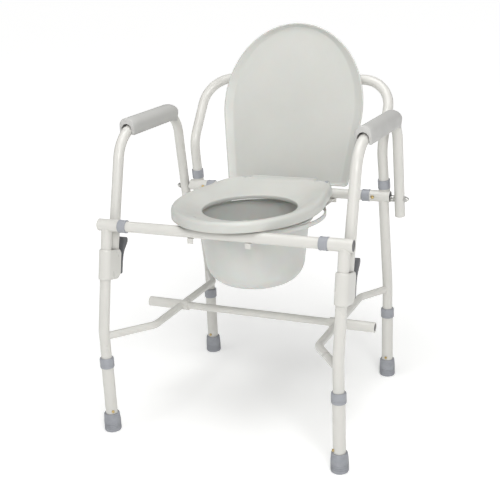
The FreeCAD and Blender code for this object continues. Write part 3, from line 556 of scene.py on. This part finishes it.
def build_lid():
    half = low_high("lid")[1].x

    def ring(inset, rise, share=0.0):
        end = (min(inset, LIP_INSET) + max(inset - LIP_INSET, 0) * END_SHARE) * MM
        points = oval(
            half - inset * MM, HINGE.y - LID_REACH + end, HINGE.y + LID_BEHIND - end,
            HINGE.y - LID_WIDEST, (10 - end / MM / 4) * MM, 9,
        )
        hub = Vector((0, HINGE.y - LID_WIDEST))
        z = HINGE.z + LID_RIM + rise * MM
        return [Vector((*p.lerp(hub, share), z)) for p in points]

    rings = [ring(PANEL_INSET + 5, 8.05, share) for share in (0.97, 0.75, 0.5, 0.25, 0.08)]
    rings += [ring(PANEL_INSET + 5, 8.0), ring(PANEL_INSET + 2, 7.9), ring(PANEL_INSET, 7.5)]
    rings += [ring(PANEL_INSET - 2, 6.8), ring(12, 4.1), ring(6, 1.6), ring(4.4, 0.8), ring(3.4, 0.25)]
    rings += [ring(2.2, 0), ring(1.0, 0.1), ring(0.2, 0.8), ring(0, 1.6), ring(0.6, 2.9)]
    rings += [ring(3, 4.6), ring(10, 8.0), ring(15, 9.7), ring(19, 10.4), ring(23, 10.5)]
    rings += [ring(23, 10.5, share) for share in (0.1, 0.3, 0.55, 0.8, 0.97)]
    panel = loft("lid_panel", rings)
    sharpen(panel, 50)
    raise_ = (Matrix.Translation(HINGE) @ Matrix.Rotation(-LID_RAISED, 4, Vector((1, 0, 0)))
              @ Matrix.Translation(-HINGE))
    moved(panel, raise_)
    place(panel, "lid", "lid_plastic", "lid")
    mark = lathe(
        "lid_gate_mark",
        [(0, 0.3), (1.1, 0.25), (1.5, -0.5), (2.3, -0.6), (3.0, -0.35), (3.2, 0.4), (0, 0.5)],
        Vector((0, 0, 0)), steps=32,
    )
    moved(mark, Matrix.Scale(MM, 4))
    moved(mark, Matrix.Translation(Vector((2.7 * MM, HINGE.y - 165 * MM, HINGE.z + LID_RIM + 8.05 * MM))))
    moved(mark, raise_)
    sharpen(mark, 50)
    place(mark, "lid", "lid_plastic")
    build_lid_lugs(raise_)


def build_lid_lugs(raise_):
    """The two lugs of the lid that turn on the hinge pins."""
    outline = []
    for degrees in range(180, 361, 15):
        a = math.radians(degrees)
        outline.append((HINGE.y + LUG_R * math.cos(a), HINGE.z + LUG_R * math.sin(a)))
    outline += [(HINGE.y + 4 * MM, HINGE.z + 9 * MM), (HINGE.y + 3 * MM, HINGE.z + LUG_TOP)]
    outline.append((HINGE.y - LUG_R, HINGE.z + LUG_TOP))
    for side_name, side in SIDES:
        lug = plate("lid_lug_" + side_name, outline, 81 * MM, 96 * MM, 1.2 * MM)
        moved(lug, flipped(side))
        moved(lug, raise_)
        place(lug, "lid", "lid_plastic")


# ---- pail and bail ----

def build_pail():
    low, high = low_high("pail")
    centre = Vector((0, (low.y + high.y) / 2, 0))
    base = low.z / MM
    rim = high.x / MM
    top = base + 149
    wall = 2.6
    outline = [(0, base + 1.6), (38, base + 1.6), (42, base + 0.4), (46, base), (58, base)]
    outline += arc_points(58.8, base + 50, 50, -88, -7, 14)
    outline += [(121, top - 7), (121.4, top - 4.6), (123.4, top - 3.4), (rim - 3, top - 3.2)]
    outline += arc_points(rim - 1.8, top - 1.8, 1.8, -80, 80, 6)
    outline += [(rim - 4, top), (122.5, top - 0.1), (120, top - 0.9), (118.7, top - 2.8), (118, top - 8)]
    outline += arc_points(58.8, base + 50, 50 - wall, -7, -88, 12)
    outline += [(40, base + wall + 1.4), (0, base + wall + 1.4)]
    body = lathe("pail_body", [(r * MM, h * MM) for r, h in outline], centre, steps=128)
    sharpen(body, 50)
    place(body, "pail", "pail_plastic", "pail")
    pin_z = middle("bail").z
    for name, side in (("front", -1), ("rear", 1)):
        axis = Vector((0, side, 0))
        pin = lathe(
            "pail_pin_" + name,
            [(0, 122), (4, 122), (4.2, 127), (3.8, 129.5), (2.5, 130.5), (2.5, 141), (2.1, 142.4),
             (0, 143)],
            Vector((0, 0, 0)), axis, 32,
        )
        moved(pin, Matrix.Scale(MM, 4))
        moved(pin, Matrix.Translation(Vector((0, centre.y, pin_z))))
        sharpen(pin, 50)
        place(pin, "pail", "pail_plastic")
    build_bail(centre.y, pin_z)


BAIL_EDGE = 1.2 * MM


def build_bail(centre_y, z):
    """The carrying strap: a flat band round one side of the rim, with an eye at each end."""
    tall, thick = 5 * MM, 2 * MM
    radius = low_high("bail")[1].x - thick
    section = []
    u, w = thick - BAIL_EDGE, tall - BAIL_EDGE
    for x, y, start in ((u, w, 0), (-u, w, 90), (-u, -w, 180), (u, -w, 270)):
        for k in range(4):
            a = math.radians(start + 30 * k)
            section.append((x + BAIL_EDGE * math.cos(a), y + BAIL_EDGE * math.sin(a)))
    rings = []
    for k in range(61):
        a = math.radians(-87 + 174 * k / 60)
        out = Vector((math.cos(a), math.sin(a), 0))
        spot = Vector((0, centre_y, z)) + out * radius
        rings.append([spot + out * u + Vector((0, 0, w)) for u, w in section])
    strap = loft("bail_strap", rings)
    sharpen(strap, 50)
    place(strap, "bail", "pail_plastic", "bail")
    for name, side in (("front", -1), ("rear", 1)):
        eye = lathe(
            "bail_eye_" + name,
            [(2.6, 138), (4.4, 137.6), (5, 138.4), (5, 155.6), (4.2, 156.6), (0, 156.8), (0, 144),
             (2.6, 144), (2.6, 138)],
            Vector((0, 0, 0)), Vector((0, side, 0)), 32,
        )
        moved(eye, Matrix.Scale(MM, 4))
        moved(eye, Matrix.Translation(Vector((0, centre_y, z))))
        sharpen(eye, 50)
        place(eye, "bail", "pail_plastic")


# ---- arms: pads and release levers ----

TOE_IN = math.radians(-1.25)
ARM_RISE = 187  # the arm's top run above the pivot
REAR_SLOPE = -0.13
REAR_BEND = 60
PAD_FRONT = -264.5  # from the pivot
PAD_TURN = 28
POST_SLOPE = 0.285
POST_END = (-374.0, -99.0)
PAD_HALF = 17.5


def pad_section(inset):
    """The pad's arched section, open below, about the arm's axis."""
    half = PAD_HALF - inset
    shoulder, foot, bore = 7.5, -12 + inset * 0.5, 12.4
    points = [(-half + 0.8, foot), (-half, foot + 1.0), (-half, -4), (-half, 3)]
    points += [(half * math.cos(a), shoulder + half * math.sin(a))
               for a in (math.pi - math.pi * k / 20 for k in range(21))]
    points += [(half, 3), (half, -4), (half, foot + 1.0), (half - 0.8, foot)]
    points += [(bore + 0.6, foot), (bore, foot + 0.8)]
    points += [(bore, -5)]
    points += [(bore * math.cos(a), bore * math.sin(a)) for a in (math.pi * k / 12 for k in range(13))]
    points += [(-bore, -5), (-bore, foot + 0.8), (-bore - 0.6, foot)]
    return points


def build_pad(side_name, side):
    pivot = Vector(JOINTS["arm_right_drop"]["pos_m"])
    turn = Vector((REAR_SLOPE, 1)).angle(Vector((-1, 0)))
    start = REAR_SLOPE * ARM_RISE - REAR_BEND * math.tan(turn / 2)
    stations = [(PAD_FRONT, 0, 1.8), (PAD_FRONT + 0.5, 0, 0.8), (PAD_FRONT + 1.8, 0, 0)]
    stations += [(PAD_FRONT + (start - PAD_FRONT) * k / 8, 0, 0) for k in range(1, 9)]
    stations += [(start, PAD_TURN * k / 10, 0) for k in range(1, 11)]
    stations[-1] = (start, PAD_TURN - 1.6, 0)
    stations += [(start, PAD_TURN - 0.5, 0.8), (start, PAD_TURN, 1.8)]
    rings = []
    for y, bend, inset in stations:
        a = math.radians(bend)
        up = Vector((0, math.sin(a), math.cos(a)))
        spot = Vector((0, y + REAR_BEND * math.sin(a), ARM_RISE - REAR_BEND * (1 - math.cos(a))))
        rings.append([spot + Vector((u, 0, 0)) + up * w for u, w in pad_section(inset)])
    pad = loft("armrest_pad_" + side_name, rings)
    moved(pad, Matrix.Scale(MM, 4))
    moved(pad, Matrix.Translation(pivot) @ Matrix.Rotation(TOE_IN, 4, Vector((0, 0, 1))))
    moved(pad, flipped(side))
    sharpen(pad, 50)
    place(pad, "arm_" + side_name, "pad_vinyl", "arm_pad_" + side_name)


LEVER_HALF = 14
LEVER_SLOT = 4.4
FRONT_LEG_X = 262
LEVER_PADDLE = [
    (16, 3.1), (16, 7.4), (20, 6.8), (30, 7.6), (38, 8.8), (47, 12.4), (57, 18), (62, 20.8), (67, 22.4),
    (72, 21.2), (74, 17.5), (72, 13), (66, 9.8), (54, 7.2), (38, 5.2), (27, 4.0),
]
LEVER_CHEEK = [
    (-4, 2.8), (-4.6, 5.6), (-3.6, 8.4), (4, 8.6), (12, 8.4), (19, 7.0), (20, 5.2), (18, 3.4), (8, 2.8),
]


def build_lever(side_name, side):
    """The release lever: a wide plate with a curled finger edge, and two cheeks that straddle its lug."""
    pivot = Vector(JOINTS["arm_right_drop"]["pos_m"])
    up = Vector((POST_SLOPE, 1)).normalized()
    back = Vector((up.y, -up.x))
    root = Vector((pivot.y, pivot.z)) / MM + Vector(POST_END) + back * 11.5
    spans = (
        ("paddle", LEVER_PADDLE, -LEVER_HALF, LEVER_HALF),
        ("cheek_inner", LEVER_CHEEK, -LEVER_HALF, -LEVER_SLOT),
        ("cheek_outer", LEVER_CHEEK, LEVER_SLOT, LEVER_HALF),
    )
    for name, shape, x0, x1 in spans:
        outline = smooth_loop([(root + up * a + back * b) * MM for a, b in shape], 4)
        low, high = (FRONT_LEG_X + x0) * MM, (FRONT_LEG_X + x1) * MM
        piece = plate("lever_%s_%s" % (name, side_name), outline, low, high, 0.8 * MM)
        moved(piece, flipped(side))
        nodes = ("release_lever_" + side_name,) if name == "paddle" else ()
        place(piece, "lever_" + side_name, "lever_plastic", *nodes)


# ---- lock housings ----

LEG_SLOPE = Vector((0, -48, -220)).normalized()
HOUSING_LENGTH = 64.0
HOUSING_DROP = 82.0  # from the bar's axis down to the middle of the housing
HOUSING_HALF = 14.7
HOUSING_BORE = 12.0


def housing_section(depth, inset):
    """A channel round the leg, open behind: (across, backward) points."""
    half = HOUSING_HALF - inset
    points = [(-half, depth - 0.8), (-half, depth * 0.66), (-half, depth * 0.33), (-half, 0)]
    for k in range(1, 20):
        a = math.pi + math.pi * k / 20
        points.append((half * math.cos(a), half * math.sin(a)))
    points += [(half, 0), (half, depth * 0.33), (half, depth * 0.66), (half, depth - 0.8)]
    points.append((half - 0.8, depth))
    bore = HOUSING_BORE
    points += [(bore + 0.4, depth), (bore, depth - 0.5), (bore, 0)]
    points += [(bore * math.cos(a), bore * math.sin(a)) for a in (-math.pi * k / 16 for k in range(1, 16))]
    points += [(-bore, 0), (-bore, depth - 0.5), (-bore - 0.4, depth), (-half + 0.8, depth)]
    return points


def build_housing(side_name, side):
    bar_middle = middle("front_crossbar")
    back = Vector((0, -LEG_SLOPE.z, LEG_SLOPE.y))
    start = Vector((FRONT_LEG_X * MM, bar_middle.y, bar_middle.z))
    centre = start + LEG_SLOPE * (-HOUSING_DROP * MM / LEG_SLOPE.z)
    half = HOUSING_LENGTH / 2
    rings = []
    for along, depth, inset in (
        (-half, 31, 1.6), (-half + 0.5, 31.6, 0.7), (-half + 1.8, 32.8, 0), (-half + 5, 35.6, 0),
        (-half + 8, 38, 0), (-half + 11, 39, 0), (0, 39, 0), (half - 14, 39, 0), (half - 11, 38.2, 0),
        (half - 6, 34, 0), (half - 2.4, 30.6, 0), (half - 0.8, 29.4, 0.7), (half, 28.8, 1.8),
    ):
        spot = centre + LEG_SLOPE * along * MM
        section = housing_section(depth, inset)
        rings.append([spot + Vector((u * MM, 0, 0)) + back * w * MM for u, w in section])
    housing = loft("housing_channel_" + side_name, rings)
    moved(housing, flipped(side))
    sharpen(housing, 40)
    place(housing, "frame", "frame_enamel", "lock_housing_" + side_name)


# ---- small turned pieces ----

def turned(name, body, slot_, outline, centre, axis, *nodes):
    """A turned piece from (radius, height) points in millimetres; height is along the axis from centre."""
    obj = lathe(name, [(r * MM, h * MM) for r, h in outline], centre, axis, 64)
    sharpen(obj, 40)
    place(obj, body, slot_, *nodes)


UP = Vector((0, 0, 1))
LEG_BORE = 13.15
LEG_SLIDE = 11.95


def build_feet():
    """A ribbed rubber tip and a grooved guide collar for each lower leg."""
    for place_name in ("front", "rear"):
        for side_name, _ in SIDES:
            key = place_name + "_" + side_name
            low, high = low_high("leg_tip_" + key)
            foot = Vector(((low.x + high.x) / 2, (low.y + high.y) / 2, 0))
            outline = tip_outline((high.x - low.x) / 2 / MM)
            turned("tip_cup_" + key, "leg_" + key, "tip_rubber", outline, foot, UP, "leg_tip_" + key)
            low, high = low_high("leg_collar_" + key)
            outline = collar_outline((high.x - low.x) / 2 / MM, low.z / MM, high.z / MM)
            turned(
                "collar_ring_" + key, "leg_" + key, "collar_plastic", outline, foot, UP,
                "leg_collar_" + key,
            )


def tip_outline(r):
    outline = [(0, 0.6), (r - 7, 0.6), (r - 6, 0), (r - 3, 0), (r - 1.1, 0.8), (r - 0.2, 2.8)]
    outline.append((r, 5.5))
    for h in (9, 13.5, 18):
        outline += [(r - 0.1, h - 0.9), (r - 0.9, h - 0.5), (r - 0.9, h + 0.5), (r - 0.1, h + 0.9)]
    outline += [(r - 0.4, 27), (r - 1.2, 37), (r - 1.5, 39.5), (r - 2.2, 41.3), (r - 3.4, 42)]
    outline += [(LEG_BORE + 0.5, 42), (LEG_BORE, 41.4), (LEG_BORE, 4), (0, 4)]
    return outline


def collar_outline(r, h0, h1):
    outline = [(LEG_BORE, h0), (r - 1.2, h0), (r - 0.4, h0 + 0.5), (r, h0 + 1.6), (r, h0 + 6)]
    outline += [(r - 0.6, h0 + 6.6), (r - 0.6, h0 + 7.4), (r, h0 + 8), (r, h1 - 4)]
    outline += [(r - 0.4, h1 - 1.8), (r - 1.6, h1 - 0.4), (r - 2.4, h1), (LEG_SLIDE, h1)]
    outline += [(LEG_SLIDE, h1 - 7), (LEG_BORE, h1 - 7), (LEG_BORE, h0)]
    return outline


SLEEVE_R = 14.0
SLEEVE_BORE = 11.6
SLEEVE_LENGTH = 19
SOCKET_MOUTHS = (("front", 231.0), ("rear", 204.0))
RING_OUTLINE = [
    (4.2, 12.4), (5.2, 12.2), (5.4, 12.7), (4.9, 13.5), (4.3, 13.6), (4.05, 13.2), (4.2, 12.4),
]


def sleeve_outline():
    r = SLEEVE_R
    outline = [(SLEEVE_BORE, 0), (r - 1.4, 0), (r - 0.5, 0.4), (r, 1.3), (r, 3.6), (r - 0.5, 4.1)]
    outline += [(r - 0.5, 14.9), (r, 15.4), (r, 17.7), (r - 0.5, 18.6), (r - 1.4, SLEEVE_LENGTH)]
    outline += [(SLEEVE_BORE, SLEEVE_LENGTH), (SLEEVE_BORE, 0)]
    return outline


def build_sleeves():
    """Grey collars at the bars' socket mouths, with a lip at each end."""
    nodes = ("bar_sleeves",)
    for bar_name, mouth in SOCKET_MOUTHS:
        bar_middle = middle(bar_name + "_crossbar")
        for side_name, side in SIDES:
            start = Vector((side * mouth * MM, bar_middle.y, bar_middle.z))
            turned(
                "sleeve_%s_%s" % (bar_name, side_name), "frame", "collar_plastic",
                sleeve_outline(), start, Vector((-side, 0, 0)), *nodes,
            )
            nodes = ()


def build_button_rings():
    """A pressed ring round each bar's snap button."""
    for bar_name, facing in (("front", 1), ("rear", -1)):
        for side_name, _ in SIDES:
            spot = middle("%s_bar_button_%s" % (bar_name, side_name))
            spot.y = middle(bar_name + "_crossbar").y
            turned(
                "button_ring_%s_%s" % (bar_name, side_name), "frame", "zinc_steel",
                RING_OUTLINE, spot, Vector((0, facing, 0)),
            )


# ---- studio ----

def build_floor():
    """A white floor that grows brighter away from the chair, so that it has no far edge."""
    shader = Shader("floor_white")
    distance = shader.tree.nodes.new("ShaderNodeVectorMath")
    distance.operation = "LENGTH"
    shader.link(shader.place, distance.inputs[0])
    glow = shader.remap(distance.outputs["Value"], 0.5, 2.2, 0.26, 0.76)
    shader.link(glow, shader.bsdf.inputs["Emission Strength"])
    shader.bsdf.inputs["Emission Color"].default_value = (1, 1, 1, 1)
    shader.bsdf.inputs["Base Color"].default_value = (0.9, 0.9, 0.89, 1)
    shader.bsdf.inputs["Roughness"].default_value = 0.9
    half = 40.0
    corners = [(-half, -half, 0), (half, -half, 0), (half, half, 0), (-half, half, 0)]
    floor = to_object("floor", corners, [(0, 1, 2, 3)], smooth=False)
    floor.data.materials.append(shader.mat)


def area_light(name, place_, target, size, power):
    light = bpy.data.lights.new(name, "AREA")
    light.shape = "RECTANGLE"
    light.size = size[0]
    light.size_y = size[1]
    light.energy = power
    obj = bpy.data.objects.new(name, light)
    obj.location = place_
    aim = Vector(target) - Vector(place_)
    obj.rotation_euler = aim.to_track_quat("-Z", "Y").to_euler()
    bpy.context.scene.collection.objects.link(obj)


def build_lights():
    world = bpy.data.worlds.new("studio")
    world.use_nodes = True
    background = world.node_tree.nodes["Background"]
    background.inputs["Color"].default_value = (1, 1, 1, 1)
    background.inputs["Strength"].default_value = 0.26
    bpy.context.scene.world = world
    centre = (0, 0, 0.45)
    area_light("key", (1.5, -2.3, 2.0), centre, (1.3, 1.3), 48)
    area_light("fill", (-1.9, -2.0, 1.4), centre, (1.4, 1.4), 9)
    area_light("top", (0.1, -0.3, 2.6), centre, (1.6, 1.6), 36)


CAMERA_AZIMUTH = math.radians(24.0)
CAMERA_ELEVATION = math.radians(17.63)
CAMERA_ROLL = math.radians(-2.49)
CAMERA_DISTANCE = 1.998
CAMERA_TARGET = Vector((0, -0.0601, 0.378))
LENS_PER_FRAME = 923 / 500  # focal length over the picture's width
SENSOR = 36.0


def build_camera():
    data = bpy.data.cameras.new("camera")
    data.sensor_width = SENSOR
    data.lens = LENS_PER_FRAME * SENSOR
    data.clip_end = 200
    camera = bpy.data.objects.new("camera", data)
    bpy.context.scene.collection.objects.link(camera)
    a, e = CAMERA_AZIMUTH, CAMERA_ELEVATION
    back = Vector((math.sin(a) * math.cos(e), -math.cos(a) * math.cos(e), math.sin(e)))
    right = Vector((math.cos(a), math.sin(a), 0))
    up = back.cross(right)
    tilted_right = right * math.cos(CAMERA_ROLL) + up * math.sin(CAMERA_ROLL)
    tilted_up = up * math.cos(CAMERA_ROLL) - right * math.sin(CAMERA_ROLL)
    turn = Matrix((tilted_right, tilted_up, back)).transposed().to_4x4()
    camera.matrix_world = Matrix.Translation(CAMERA_TARGET + back * CAMERA_DISTANCE) @ turn
    bpy.context.scene.camera = camera
    bpy.context.scene.view_settings.view_transform = "Standard"


paint_cad_nodes()
build_seat()
build_lid()
build_pail()
build_feet()
build_sleeves()
build_button_rings()
for side_name_, side_ in SIDES:
    build_pad(side_name_, side_)
    build_lever(side_name_, side_)
    build_housing(side_name_, side_)
build_floor()
build_lights()
build_camera()
